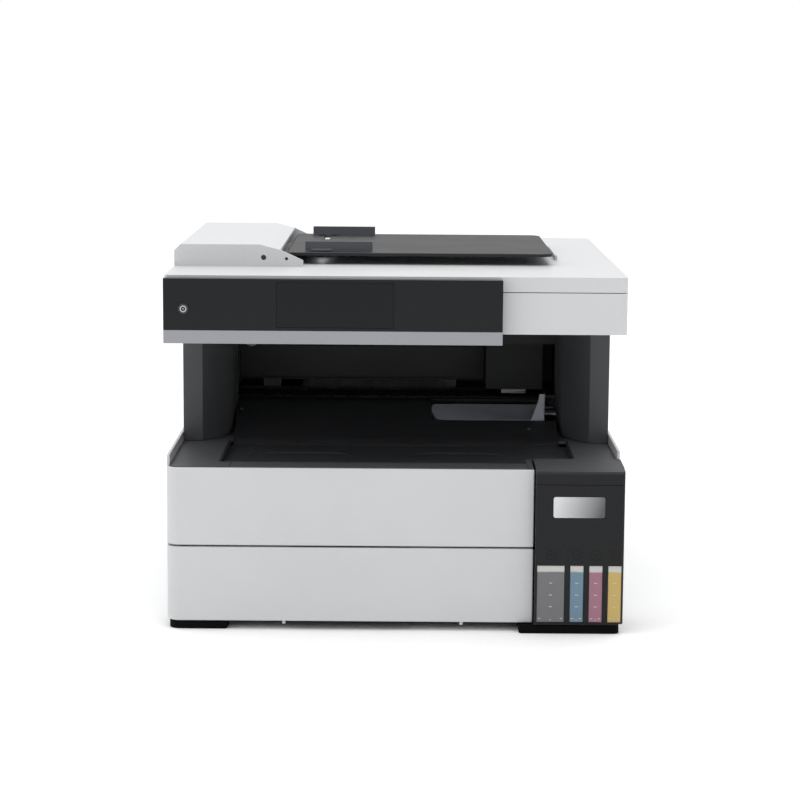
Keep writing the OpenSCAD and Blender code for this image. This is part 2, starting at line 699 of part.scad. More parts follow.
module window(x, w)
    block([x - w/2, x + w/2], [y_front - 1, y_front + wall + e], [window_z, window_z + window_h]);

module ink_tank(i, w, window_w) difference() {
    union() {
        slab([tank_x(i) - w/2, tank_x(i) + w/2], [tank_front, tank_front + tank_d], [tank_z, tank_top],
            [1, 1, 1, 1]);
        // pad that fills the window
        block([tank_x(i) - window_w/2 + 0.2, tank_x(i) + window_w/2 - 0.2], [y_front + 0.6, tank_front + e],
            [window_z + 0.2, window_z + window_h - 0.2]);
        rod_z(tank_x(i), neck_y, [tank_top - e, neck_top], neck_r);
        for (s = [-1, 1]) block([tank_x(i) + s*3.8 - 1, tank_x(i) + s*3.8 + 1],
            [neck_y + hinge_dy - 2, neck_y + hinge_dy + 2], [tank_top - e, neck_top + 3]);
        rod_x([tank_x(i) - 3.6, tank_x(i) + 3.6], neck_y + hinge_dy, neck_top + 1, 1.2);
    }
    block([tank_x(i) - w/2 + 1.4, tank_x(i) + w/2 - 1.4], [tank_front + 1.4, tank_front + tank_d - 1.4],
        [tank_z + 1.6, tank_top - 1.6]);
    rod_z(tank_x(i), neck_y, [tank_top - 3, neck_top + 1], neck_r - 1.8);
}

module black_tank() color("#777777") ink_tank(0, black_tank_w, black_window_w);
module cyan_tank() color("#7290a3") ink_tank(1, colour_tank_w, colour_window_w);
module magenta_tank() color("#a0788a") ink_tank(2, colour_tank_w, colour_window_w);
module yellow_tank() color("#c8b272") ink_tank(3, colour_tank_w, colour_window_w);

// plug cap on its hinge, standing on the neck
module tank_cap(i) difference() {
    union() {
        rod_z(tank_x(i), neck_y, [neck_top + 0.3, neck_top + cap_h], neck_r + 0.5);
        block([tank_x(i) - 2.4, tank_x(i) + 2.4], [neck_y + 2, neck_y + hinge_dy - 1],
            [neck_top + 1.6, neck_top + 4]);
        rod_x([tank_x(i) - 2.4, tank_x(i) + 2.4], neck_y + hinge_dy, neck_top + 1, 2.3);
        block([tank_x(i) - 2.4, tank_x(i) + 2.4], [neck_y - neck_r - 3, neck_y],
            [neck_top + cap_h - 2, neck_top + cap_h]);
    }
    rod_x([tank_x(i) - 3, tank_x(i) + 3], neck_y + hinge_dy, neck_top + 1, 1.25);
}

module black_cap() color("#2b2b2d") tank_cap(0);
module cyan_cap() color("#1f6fa8") tank_cap(1);
module magenta_cap() color("#b03a72") tank_cap(2);
module yellow_cap() color("#d6b21e") tank_cap(3);

// lid that falls towards the front and covers the fillers
module tank_lid() color(black) difference() {
    union() {
        intersection() {
            along_x([x_tank, x_right], [[y_front, lid_z], [y_front, deck_z - 2.5],
                [y_front + 1.8, deck_z - 0.5], [y_front + 20, deck_z + 1.4], [lid_y - 12, deck_z + 2],
                [lid_hinge_y, deck_z + 2], [lid_hinge_y, lid_hinge_z], [lid_y - 9, lid_hinge_z - 4],
                [lid_y - 9, lid_z]]);
            slab([x_tank, x_right], [y_front, lid_y], [0, body_h], [1.5, 3, 0, 0]);
        }
        rod_x([x_tank, x_right], lid_hinge_y, lid_hinge_z, 4);
    }
    along_x([x_tank + 2, x_right - 2], [[y_front + wall, lid_z - 1], [y_front + wall, deck_z - 3.2],
        [y_front + 20, deck_z - 1.2], [lid_y - 12, deck_z - 0.5], [lid_y - 9, deck_z - 0.5],
        [lid_y - 9, lid_z - 1]]);
    for (x = lid_ears)
        block([x - 0.5, x + 4.5], [lid_hinge_y - 6, lid_y + 1], [lid_z - 1, lid_hinge_z + 3]);
    for (x = lid_ears) rod_x([x - 3.4, x + 7.4], lid_hinge_y, lid_hinge_z, 1.2 + shaft_fit);
}

// ---- electronics ----

// board on the right-hand wall, with its sockets at the rear
module main_board() color("#2f6b45") {
    block([inner_x - 6, inner_x - 4.4], [y_shell - 180, y_shell - 5], [foot_h + 14, deck_z - 20]);
    for (z = port_z) difference() {
        block([port_x - 7, inner_x - 5.9], [y_shell - 20, y_shell - 3.4], [z - 6, z + 6]);
        block([port_x - 5, port_x + 5], [y_shell - 14, y_shell], [z - 4, z + 4]);
    }
    for (y = [y_shell - 150, y_shell - 95, y_shell - 50])
        block([inner_x - 10, inner_x - 5.9], [y, y + 26], [foot_h + 66, foot_h + 92]);
}

// power supply in its steel can, with the mains inlet
module power_supply() color(steel) difference() {
    union() {
        block([box_x0, x_right - 36], [y_shell - 118, y_shell - 12], [floor_z + 2, foot_h + 56]);
        block([inlet_x - 12, inlet_x + 12], [y_shell - 12.1, y_shell - 3.4], [inlet_z - 8, inlet_z + 8]);
    }
    block([inlet_x - 9, inlet_x + 9], [y_shell - 12, y_shell - 3], [inlet_z - 5, inlet_z + 5]);
}

// waste ink box that pulls out to the rear
module maintenance_box() color("#4b4e53") {
    block([box_x0, box_x1], [y_shell - 112, y_shell - 4], [box_z0, box_z0 + 32]);
    block([box_x0 - 1.4, box_x1 + 1.4], [y_shell - 4.1, y_shell], [box_z0 - 1.4, deck_z - 14.6]);
    block([box_x0 + 22, box_x0 + 36], [y_shell - 0.1, y_shell + 3], [deck_z - 48, deck_z - 40]);
}

// rear door with its inner sheet guides, hinged at its lower edge
module rear_door() color(light) difference() {
    union() {
        difference() {
            block([paper_x - door_w/2, paper_x + door_w/2], [y_shell + 0.4, y_back],
                [foot_h + 31, ramp_z + 69]);
            block([paper_x - door_w/2 + 2.5, paper_x + door_w/2 - 2.5], [y_shell - 1, y_back - wall],
                [foot_h + 38, ramp_z + 66.5]);
        }
        rod_x([paper_x - door_w/2 - 3, paper_x + door_w/2 + 3], door_hinge_y, door_hinge_z, 1.5);
        for (i = [0:5]) along_x([paper_x - 92 + i*36, paper_x - 89 + i*36], [[y_back - 2, foot_h + 48],
            [y_shell - 10, foot_h + 60], [y_shell - 16, deck_z - 30], [y_shell - 16, ramp_z - 20],
            [y_shell - 8, ramp_z + 30], [y_back - 2, ramp_z + 46]]);
    }
    block([paper_x - 22, paper_x + 22], [y_back - 1.4, y_back + 1], [ramp_z + 50, ramp_z + 60]);
}

// ---- cassettes ----

// front panel wrapped round the machine's left corner; top is the height of its face
module cassette_front(z0, top, box_top) color(light) difference() {
    union() {
        difference() {
            slab([x_left, x_div], [y_panel, y_return], [z0, box_top], [corner_r, 0, 0, 0]);
            slab([x_left + wall, x_div - wall], [y_panel + wall, y_return + 1], [z0 + wall, box_top - wall],
                [corner_r - wall, 0, 0, 0]);
        }
        difference() {
            slab([x_left, x_div], [y_panel, y_return], [z0 + 1, top], [corner_r, 0, 0, 0]);
            slab([x_left + wall, x_div + 1], [y_panel + wall, y_return + 1], [z0, top + 1],
                [corner_r - wall, 0, 0, 0]);
        }
        // boss that carries the tray
        block([paper_x - 100, paper_x + 100], [y_panel + wall - e, y_return + 0.1], [z0 + 14, z0 + 17]);
    }
    // finger grip in the underside
    block([paper_x - 55, paper_x + 55], [y_panel + wall, y_return + 1], [z0 - 1, z0 + wall + 1]);
}

module cassette_1_front() cassette_front(level_1, front_top, deck_z - recess_h - 4);
module cassette_2_front() cassette_front(level_2, level_2 + front_h, level_2 + front_h);

// paper tray with rounded rear corners, guide slots and a low lead edge
module cassette_tray(z) color(black) difference() {
    tub([paper_x - tray_w/2, paper_x + tray_w/2], [y_return + 0.2, y_tray_end], [z, z + tray_wall_h],
        tray_t, [0, 0, 8, 8]);
    // slots for the side guides' feet
    for (s = [-1, 1]) for (y = guide_slots) translate([paper_x + s*(guide_x - 19), 0, 0])
        block([-29, 29], [y, y + 6], [z - 1, z + tray_t + 1]);
    // lead edge falls towards the pick-up roller
    block([paper_x - tray_w/2 + 20, paper_x + tray_w/2 - 20], [y_tray_end - tray_t - 1, y_tray_end + 1],
        [z + tray_wall_h - 8, z + tray_wall_h + 1]);
}

module cassette_1_tray() cassette_tray(tray_z1);
module cassette_2_tray() cassette_tray(tray_z2);

// upright side guide with its foot; s is -1 on the left and 1 on the right
module side_guide(s, z) color("#3c4047") translate([paper_x + s*guide_x, 0, 0])
    mirror([s < 0 ? 1 : 0, 0, 0]) {
    block([0, guide_t], [-guide_l/2 - 15, guide_l/2 - 15], [z + tray_t + 0.3, z + tray_wall_h - 4]);
    block([guide_t - e, 10], [-guide_l/2 - 15, guide_l/2 - 15], [z + tray_t + 0.3, z + tray_t + 2.3]);
    for (y = guide_slots) block([guide_t, 8], [y + 0.4, y + 5.6], [z + 0.4, z + tray_t + 0.4]);
    for (y = [-70, -16, 38])
        along_y([y, y + 2], [[guide_t - e, z + tray_t + 2.2], [9, z + tray_t + 2.2],
            [guide_t - e, z + tray_wall_h - 8]]);
}

module cassette_1_left_guide() side_guide(-1, tray_z1);
module cassette_1_right_guide() side_guide(1, tray_z1);
module cassette_2_left_guide() side_guide(-1, tray_z2);
module cassette_2_right_guide() side_guide(1, tray_z2);

// ---- scanner unit ----

// lower casing with the scan bar's rail, the panel's hinge ears and the rear hinge knuckles
module scanner_base() color(light) difference() {
    union() {
        tub([x_left, x_right], [scan_front, y_shell], [scanner_z, scanner_top], wall, [3, 6, 6, 6]);
        block([x_left + 16, x_right - 16], [-6, 6], [scanner_z + 1, scanner_z + 10]);
        // panel hinge ears
        for (x = panel_ears) {
            block([x, x + 5], [tilt_y - 2.5, scan_front + 1], [tilt_z - 22, tilt_z - 12]);
            block([x, x + 5], [tilt_y - 2.5, tilt_y + 1.6], [tilt_z - 13, tilt_z + 2]);
            rod_x([x - 3, x + 8], tilt_y, tilt_z, tilt_r);
        }
        // knuckles over the hood's hinge pins
        for (x = hinge_x) for (d = [-5.4, 4.6]) {
            block([x + d, x + d + 4.8], [hinge_y - 5, hinge_y + 5], [hinge_z, scanner_z + 1]);
            rod_x([x + d, x + d + 4.8], hinge_y, hinge_z, 5);
        }
    }
    for (x = hinge_x) rod_x([x - 6, x + 10], hinge_y, hinge_z, hinge_r + shaft_fit);
}

// top plate with the flatbed window and the feeder's reading slot
module scanner_frame() color(light) {
    difference() {
        slab([x_left + wall + 0.3, x_right - wall - 0.3], [scan_front + wall + 0.3, y_shell - wall - 0.3],
            [plate_z, scanner_top], [2, 4, 4, 4]);
        block([glass_x, glass_x + glass_l], [-glass_w/2, glass_w/2], [plate_z - 1, scanner_top + 1]);
        block([slot_x, slot_x + slot_w], [-glass_w/2, glass_w/2], [plate_z - 1, scanner_top + 1]);
    }
    // hinge posts of the document cover
    for (x = cover_posts) {
        block([x, x + 6], [cover_hinge_y - 4, cover_hinge_y + 1.6], [scanner_top - e, cover_hinge_z]);
        rod_x([x, x + 6], cover_hinge_y, cover_hinge_z, 2.2);
        rod_x([x - 4, x + 10], cover_hinge_y, cover_hinge_z, 1.2);
    }
}

slot_w = 14;
glass_x = 20 - glass_l/2;
slot_x = glass_x - slot_w - 12;

module scan_glass() color("#9fb4b6", 0.4) for (g = [[glass_x, glass_l], [slot_x, slot_w]])
    block([g[0] + 0.2, g[0] + g[1] - 0.2], [-glass_w/2 + 0.2, glass_w/2 - 0.2],
        [scanner_top - 3.2, scanner_top - 0.2]);

bar_x = slot_x + slot_w/2;

// contact image sensor bar that travels under the glass
module scan_bar() color("#17181a") difference() {
    block([bar_x - 9, bar_x + 9], [-glass_w/2 - 4, glass_w/2 + 4], [scanner_z + 10.5, plate_z - 1.5]);
    block([bar_x - 3, bar_x + 3], [-glass_w/2 + 4, glass_w/2 - 4], [plate_z - 3, plate_z]);
}

// ---- control panel ----

module panel_housing() color(gloss) difference() {
    union() {
        difference() {
            block([x_left, panel_x1], [panel_y0, panel_y1], [panel_z0, panel_z0 + panel_h]);
            block([x_left + 2, panel_x1 - 2], [panel_y0 + 2, panel_y1 + 1],
                [panel_z0 + 2, panel_z0 + panel_h - 1.6]);
        }
        // ribs that hold the hinge pins
        for (x = panel_ears) for (d = [-2.6, 5.6])
            block([x + d, x + d + 2], [panel_y0 + 1.9, panel_y1], [tilt_z - 5, tilt_z + 3]);
    }
    for (x = panel_ears) rod_x([x - 4, x + 9], tilt_y, tilt_z, tilt_r + shaft_fit);
    rod_y(button_x, [panel_y0 - 1, panel_y0 + 3], button_z, button_r + 0.3);
    block([screen_x - screen_w/2, screen_x + screen_w/2], [panel_y0 - 1, panel_y0 + 1.2],
        [panel_z0 + grip_h + 2.7, panel_z0 + panel_h - 3]);
}

module touch_screen() color("#08090b")
    block([screen_x - screen_w/2 + 0.3, screen_x + screen_w/2 - 0.3], [panel_y0, panel_y0 + 1.1],
        [panel_z0 + grip_h + 3, panel_z0 + panel_h - 3.3]);

module power_button() color("#2a2b2e") union() {
    rod_y(button_x, [y_front, panel_y0 + 4], button_z, button_r);
    rod_y(button_x, [panel_y0 + 2.4, panel_y0 + 4], button_z, button_r + 1.2);
}

// ---- document cover and feeder ----

// lid shell over the flatbed, with the feeder's base and the hinge posts
module document_cover() color(light) difference() {
    union() {
        difference() {
            slab([x_left, x_right], [scan_front, y_shell], [cover_z, cover_top], [3, 6, 6, 6]);
            slab([x_left + wall, x_right - wall], [scan_front + wall, y_shell - wall],
                [cover_z - 1, cover_top - wall], [1, 4, 4, 4]);
        }
        // side cheeks of the feeder
        for (y = [hump_y0 - 3.4, hump_y1 + 0.4])
            along_y([y, y + 3], [[x_left, cover_top - 1], [x_left, cover_top + adf_h - 6],
                [x_left + 6, cover_top + adf_h], [hump_x1 - 20, cover_top + adf_h],
                [hump_x1, cover_top + adf_h - 5], [tray_x0 + 20, cover_top + 6],
                [tray_x0 + 20, cover_top - 1]]);
        // guide under the feeder's roller
        along_y([hump_y0 + 40, hump_y1 - 40],
            [[x_left + 30, cover_top - e], [hump_x1 - 8, cover_top - e], [hump_x1 - 8, cover_top + 1],
            [x_left + 40, cover_top + 1]]);
        // paper stop at the end of the output area
        block([tray_x1 + 6, tray_x1 + 8], [hump_mid - 60, hump_mid + 60], [cover_top - e, cover_top + 5]);
        // ribs that ride on the hinge pins
        for (x = cover_posts) for (d = [-3.6, 6.6])
            block([x + d, x + d + 3], [cover_hinge_y - 4, y_shell - wall + e],
                [cover_hinge_z - 3, cover_top - wall + e]);
    }
    // the rear edge stays above the hinge line so that it can swing down
    block([x_left - 1, x_right + 1], [cover_hinge_y + 1.9, y_shell + 1],
        [cover_z - 1, cover_hinge_z + 0.1]);
    for (x = cover_posts)
        block([x - 0.6, x + 6.6], [cover_hinge_y - 1, y_shell + 1], [cover_z - 1, cover_hinge_z + 4]);
    for (x = cover_posts) rod_x([x - 4, x + 10], cover_hinge_y, cover_hinge_z, 1.2 + shaft_fit);
    rod_y(adf_roller_x, [hump_y0 - 4, hump_y1 + 4], adf_roller_z, 2.5 + shaft_fit);
    rod_y(adf_hinge_x, [hump_y0 - 4, hump_y1 + 4], adf_hinge_z, 1.2 + shaft_fit);
    rod_y(tray_x0 + 4, [hump_y0 - 4, hump_y1 + 4], adf_tray_z - 1, 1.5 + shaft_fit);
    // slot over the feeder's reading glass
    block([slot_x, slot_x + slot_w], [-glass_w/2, glass_w/2], [cover_top - wall - 1, cover_top + 0.5]);
}

adf_hinge_z = cover_top + 2.5;

// soft white pad that presses the sheet flat
module cover_pad() color("#f1f1ef")
    slab([glass_x - 4, glass_x + glass_l + 4], [-glass_w/2 - 4, glass_w/2 + 4],
        [cover_z + 0.3, cover_top - wall - 0.2], [3, 3, 3, 3]);

// feeder cover, hinged at the machine's left edge
module adf_cover() color(light) difference() {
    union() {
        along_y([hump_y0, hump_y1], [[x_left, adf_hinge_z], [x_left, cover_top + adf_h - 6],
            [x_left + 6, cover_top + adf_h], [hump_x1 - 20, cover_top + adf_h],
            [hump_x1, cover_top + adf_h - 5], [hump_x1, cover_top + adf_h - 7.5]]);
        rod_y(adf_hinge_x, [hump_y0, hump_y1], adf_hinge_z, 2.2);
        rod_y(adf_hinge_x, [hump_y0 - 3, hump_y1 + 3], adf_hinge_z, 1.2);
    }
    along_y([hump_y0 - 1, hump_y1 + 1], [[x_left + 4.4, cover_top - 2],
        [x_left + 4.4, cover_top + adf_h - 6], [x_left + 8, cover_top + adf_h - 2.4],
        [hump_x1 - 21, cover_top + adf_h - 2.4], [hump_x1 - 3, cover_top + adf_h - 7.4],
        [hump_x1 + 3, cover_top + adf_h - 9], [hump_x1 + 3, cover_top - 2]]);
}

// input tray, hinged beside the hump, with the guides' slots
module adf_tray() color(black) difference() {
    union() {
        slab([tray_x0 + 4, tray_x1], [hump_y0 + 22, hump_y1 - 22], [adf_tray_z, adf_tray_z + adf_tray_t],
            [0, 14, 14, 0]);
        rod_y(tray_x0 + 4, [hump_y0 - 3, hump_y1 + 3], adf_tray_z - 1, 1.5);
        rod_y(tray_x0 + 4, [hump_y0 + 22, hump_y1 - 22], adf_tray_z - 1, 3);
    }
    for (s = [-1, 1]) translate([adf_slot_x, hump_mid + s*(adf_guide_y - 24), 0])
        block([-3, 3], [-29, 29], [adf_tray_z - 1, adf_tray_z + adf_tray_t + 1]);
}

adf_slot_x = tray_x0 + 36;
adf_guide_y = 100;

module adf_guide(s) color("#3c4047") translate([0, hump_mid + s*adf_guide_y, 0])
    mirror([0, s < 0 ? 1 : 0, 0]) {
    block([tray_x0 + 20, tray_x0 + 86], [0, guide_t], [adf_tray_z + adf_tray_t + 0.3, body_h]);
    block([adf_slot_x - 10, adf_slot_x + 10], [guide_t - e, 9],
        [adf_tray_z + adf_tray_t + 0.3, adf_tray_z + adf_tray_t + 2]);
    block([adf_slot_x - 2.6, adf_slot_x + 2.6], [0, guide_t],
        [adf_tray_z + 0.5, adf_tray_z + adf_tray_t + 0.4]);
}

module adf_front_guide() adf_guide(-1);
module adf_rear_guide() adf_guide(1);

module adf_roller() color(rubber) union() {
    rod_y(adf_roller_x, [hump_y0 - 3, hump_y1 + 3], adf_roller_z, 2.5);
    for (y = [hump_mid - 26, hump_mid + 6]) rod_y(adf_roller_x, [y, y + 20], adf_roller_z, adf_roller_r);
}

base_frame();
feet();
left_side_cover();
right_side_cover();
rear_panel();
top_deck();
pillars();
paper_guide();
engine_hood();
rail_frame();
drive_belts();
drive_motors();
motor_pulley();
idler_pulley();
print_carriage();
print_head();
feed_roller();
exit_roller();
pickup_roller_1();
pickup_roller_2();
ink_tube_cover();
ink_tubes();
tank_housing();
black_tank();
cyan_tank();
magenta_tank();
yellow_tank();
tank_lid();
black_cap();
cyan_cap();
magenta_cap();
yellow_cap();
main_board();
power_supply();
maintenance_box();
rear_door();
cassette_1_tray();
cassette_1_front();
cassette_1_left_guide();
cassette_1_right_guide();
cassette_2_tray();
cassette_2_front();
cassette_2_left_guide();
cassette_2_right_guide();
output_tray();
output_flap();
scanner_base();
scanner_frame();
scan_glass();
scan_bar();
panel_housing();
touch_screen();
power_button();
document_cover();
cover_pad();
adf_cover();
adf_tray();
adf_front_guide();
adf_rear_guide();
adf_roller();
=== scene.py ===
"""Inkjet multifunction printer with two paper cassettes, ink tanks, an output bay and a scanner unit.
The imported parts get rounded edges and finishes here, the small fittings are modelled, and the studio is set.
Metres. Origin on the floor under the middle of the machine, front towards -Y, +Z up."""
import json
import math

import bpy
from mathutils import Euler, Matrix, Vector

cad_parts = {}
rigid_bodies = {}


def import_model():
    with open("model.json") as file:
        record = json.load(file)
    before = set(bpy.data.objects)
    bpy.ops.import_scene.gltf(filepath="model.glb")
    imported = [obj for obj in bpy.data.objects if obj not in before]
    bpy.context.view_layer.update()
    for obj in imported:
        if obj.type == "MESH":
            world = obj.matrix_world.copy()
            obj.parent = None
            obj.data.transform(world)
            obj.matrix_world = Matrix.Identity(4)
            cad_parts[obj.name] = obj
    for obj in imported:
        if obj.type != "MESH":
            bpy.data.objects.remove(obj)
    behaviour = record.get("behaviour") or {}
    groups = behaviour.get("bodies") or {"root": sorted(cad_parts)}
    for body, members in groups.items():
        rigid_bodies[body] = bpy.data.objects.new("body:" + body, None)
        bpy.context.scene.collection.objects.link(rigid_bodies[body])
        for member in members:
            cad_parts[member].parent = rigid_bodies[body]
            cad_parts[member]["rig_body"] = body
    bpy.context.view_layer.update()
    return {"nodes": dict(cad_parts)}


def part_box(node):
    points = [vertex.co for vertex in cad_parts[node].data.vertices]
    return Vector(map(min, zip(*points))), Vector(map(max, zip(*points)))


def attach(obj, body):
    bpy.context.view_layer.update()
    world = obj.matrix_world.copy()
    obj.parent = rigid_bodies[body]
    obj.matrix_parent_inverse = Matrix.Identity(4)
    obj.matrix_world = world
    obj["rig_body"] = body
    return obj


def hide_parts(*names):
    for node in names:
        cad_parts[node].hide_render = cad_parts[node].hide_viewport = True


MM = 0.001
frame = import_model()
nodes = frame["nodes"]
body_of = {name: node["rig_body"] for name, node in nodes.items()}
slot_of = {name: node.material_slots[0].material.name for name, node in nodes.items()}


def middle(name):
    """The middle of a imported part's box."""
    low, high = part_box(name)
    return (low + high) / 2


# ---- finishes ----

def linear(hex_colour):
    """An sRGB hex colour as the linear colour a shader takes."""
    parts = [int(hex_colour[i:i + 2], 16) / 255 for i in (1, 3, 5)]
    return (*(p / 12.92 if p <= 0.04045 else ((p + 0.055) / 1.055) ** 2.4 for p in parts), 1)


def dimmed(hex_colour, share):
    """The same colour at a share of its brightness, never above full."""
    return [min(c * share, 1) for c in linear(hex_colour)[:3]] + [1]


def add(tree, kind, settings=None, links=None):
    """Adds a shader node, sets its properties and sockets, and links its inputs."""
    node = tree.nodes.new("ShaderNode" + kind)
    for name, value in (settings or {}).items():
        if isinstance(name, int) or name in node.inputs:
            node.inputs[name].default_value = value
        else:
            setattr(node, name, value)
    for name, source in (links or {}).items():
        tree.links.new(source, node.inputs[name])
    return node


def finish(name, **sockets):
    """A new material's node tree, its shader with constant sockets set, and the Object coordinates."""
    material = bpy.data.materials.new(name)
    material.use_nodes = True
    tree = material.node_tree
    shader = tree.nodes["Principled BSDF"]
    for socket, value in sockets.items():
        shader.inputs[socket.replace("_", " ")].default_value = value
    return material, tree, shader, add(tree, "TexCoord").outputs["Object"]


def reopen(material):
    """What one more layer needs: a finish's tree, shader and Object coordinates, and its colour so far."""
    tree = material.node_tree
    shader = tree.nodes["Principled BSDF"]
    under = shader.inputs["Base Color"].links[0].from_socket
    return tree, shader, tree.nodes["Texture Coordinate"].outputs["Object"], under


def wire(shader, **sources):
    """Links each source to the shader's socket of that name."""
    for socket, source in sources.items():
        shader.id_data.links.new(source, shader.inputs[socket.replace("_", " ")])


def moulded_plastic(name, colour, roughness, grain=1.2, relief=0.2, mottle=0.012, **sockets):
    """Injection-moulded plastic: spark-eroded grain, with tone and sheen that drift as the melt flowed."""
    material, tree, shader, place = finish(name, **sockets)
    flow_size = 70 * MM
    pit_depth = 0.12 * MM
    flow = add(tree, "TexNoise", {"Scale": 1 / flow_size, "Detail": 3.0, "Roughness": 0.55},
               {"Vector": place}).outputs["Fac"]
    spark = add(tree, "TexNoise", {"Scale": 1 / (grain * MM), "Detail": 2.0, "Roughness": 0.6},
                {"Vector": place}).outputs["Fac"]
    blend = add(tree, "MapRange", {"From Min": 0.35, "From Max": 0.65}, {"Value": flow}).outputs["Result"]
    tone = add(tree, "MixRGB", {"Color1": dimmed(colour, 1 - mottle), "Color2": dimmed(colour, 1 + mottle)},
               {"Fac": blend}).outputs["Color"]
    pits = add(tree, "MapRange", {"From Min": 0.3, "From Max": 0.7, "To Min": 0.97, "To Max": 1.02},
               {"Value": spark}).outputs["Result"]
    speck = add(tree, "MixRGB", {"blend_type": "MULTIPLY", "Fac": 1.0},
                {"Color1": tone, "Color2": pits}).outputs["Color"]
    gloss = add(tree, "MapRange", {"From Min": 0.3, "From Max": 0.7, "To Min": roughness - 0.02,
                                   "To Max": roughness + 0.03}, {"Value": flow}).outputs["Result"]
    bump = add(tree, "Bump", {"Strength": relief, "Distance": pit_depth}, {"Height": spark}).outputs["Normal"]
    wire(shader, Base_Color=speck, Roughness=gloss, Normal=bump)
    return material


def printed_mark(material, centres, radius, line, dot, colour):
    """Pad-printed rings with a dot in the middle, laid on a moulded plastic at (x, z) places on its front."""
    tree, shader, place, under = reopen(material)
    front = add(tree, "VectorMath", {"operation": "MULTIPLY", 1: (1, 0, 1)}, {0: place}).outputs["Vector"]
    nearest = None
    for x, z in centres:
        away = add(tree, "VectorMath", {"operation": "DISTANCE", 1: (x, 0, z)}, {0: front}).outputs["Value"]
        if nearest is not None:
            away = add(tree, "Math", {"operation": "MINIMUM"}, {0: nearest, 1: away}).outputs["Value"]
        nearest = away
    ring = add(tree, "Math", {"operation": "COMPARE", 1: radius, 2: line}, {0: nearest}).outputs["Value"]
    spot = add(tree, "Math", {"operation": "LESS_THAN", 1: dot}, {0: nearest}).outputs["Value"]
    ink = add(tree, "Math", {"operation": "MAXIMUM"}, {0: ring, 1: spot}).outputs["Value"]
    mixed = add(tree, "MixRGB", {"Color2": linear(colour)}, {"Fac": ink, "Color1": under}).outputs["Color"]
    wire(shader, Base_Color=mixed)


def filled_tank(name, ink, level):
    """Blow-moulded polypropylene ink tank: milky, coloured by the ink up to its level and pale above it."""
    material, tree, shader, place = finish(name, Roughness=0.34, IOR=1.49, Subsurface_Weight=0.12,
                                           Subsurface_Radius=(0.004, 0.004, 0.004), Coat_Weight=0.25)
    cloud_size = 14 * MM
    ripple_height = 1.6 * MM
    soft_edge = 0.7 * MM
    height = add(tree, "SeparateXYZ", {}, {"Vector": place}).outputs["Z"]
    cloud = add(tree, "TexNoise", {"Scale": 1 / cloud_size, "Detail": 4.0}, {"Vector": place}).outputs["Fac"]
    ripple = add(tree, "Math", {"operation": "MULTIPLY_ADD", 1: ripple_height, 2: level - ripple_height / 2},
                 {0: cloud}).outputs["Value"]
    above = add(tree, "Math", {"operation": "SUBTRACT"}, {0: height, 1: ripple}).outputs["Value"]
    dry = add(tree, "MapRange", {"From Min": -soft_edge, "From Max": soft_edge},
              {"Value": above}).outputs["Result"]
    tint = add(tree, "MixRGB", {"Color1": dimmed(ink, 0.84), "Color2": linear(ink)},
               {"Fac": cloud}).outputs["Color"]
    milk = add(tree, "MixRGB", {"Color2": linear("#b9b9b5")}, {"Fac": dry, "Color1": tint}).outputs["Color"]
    bump = add(tree, "Bump", {"Strength": 0.12, "Distance": 0.2 * MM}, {"Height": cloud}).outputs["Normal"]
    wire(shader, Base_Color=milk, Normal=bump)
    return material


def metal(name, colour, roughness, grain):
    """Sheet or turned metal with fine lines left along X by rolling or brushing."""
    material, tree, shader, place = finish(name, Metallic=1.0)
    run = add(tree, "Mapping", {"Scale": (0.04, 1, 1)}, {"Vector": place}).outputs["Vector"]
    lines = add(tree, "TexNoise", {"Scale": 1 / (grain * MM), "Detail": 4.0}, {"Vector": run}).outputs["Fac"]
    tone = add(tree, "MixRGB", {"Color1": dimmed(colour, 0.86), "Color2": linear(colour)},
               {"Fac": lines}).outputs["Color"]
    sheen = add(tree, "MapRange", {"From Min": 0.3, "From Max": 0.7, "To Min": roughness - 0.06,
                                   "To Max": roughness + 0.08}, {"Value": lines}).outputs["Result"]
    bump = add(tree, "Bump", {"Strength": 0.1, "Distance": 0.05 * MM}, {"Height": lines}).outputs["Normal"]
    wire(shader, Base_Color=tone, Roughness=sheen, Normal=bump)
    return material


def painted_reflection_sweep(material, low, high, start, end):
    """Paints light to dark along a line on the metal's front: a painted reflection across the plate."""
    tree, shader, place, under = reopen(material)
    run = [b - a for a, b in zip(start, end)]
    length = sum(r * r for r in run)
    offset = add(tree, "VectorMath", {"operation": "SUBTRACT", 1: start}, {0: place}).outputs["Vector"]
    share = add(tree, "VectorMath", {"operation": "DOT_PRODUCT", 1: [r / length for r in run]},
                {0: offset}).outputs["Value"]
    tone = add(tree, "MixRGB", {"Color1": linear(low), "Color2": linear(high)},
               {"Fac": share}).outputs["Color"]
    plate_with_painted_reflection = add(tree, "MixRGB", {"blend_type": "MULTIPLY", "Fac": 1.0},
               {"Color1": under, "Color2": tone}).outputs["Color"]
    wire(shader, Base_Color=plate_with_painted_reflection)


def circuit_board():
    """FR-4 laminate under green solder resist: copper tracks show as lighter lines on a 2.5 mm grid."""
    material, tree, shader, place = finish("fr4_green_resist", Roughness=0.32, Coat_Weight=0.4)
    turned = add(tree, "Mapping", {"Rotation": (0, math.pi / 2, 0)}, {"Vector": place}).outputs["Vector"]
    tracks = add(tree, "TexBrick", {"Scale": 1 / (10 * MM), "Mortar Size": 0.035, "Brick Width": 0.9,
                                    "Row Height": 0.25, "Color1": linear("#1d5a38"),
                                    "Color2": linear("#246a42"), "Mortar": linear("#5f9a6b")},
                 {"Vector": turned}).outputs["Color"]
    wire(shader, Base_Color=tracks)
    return material


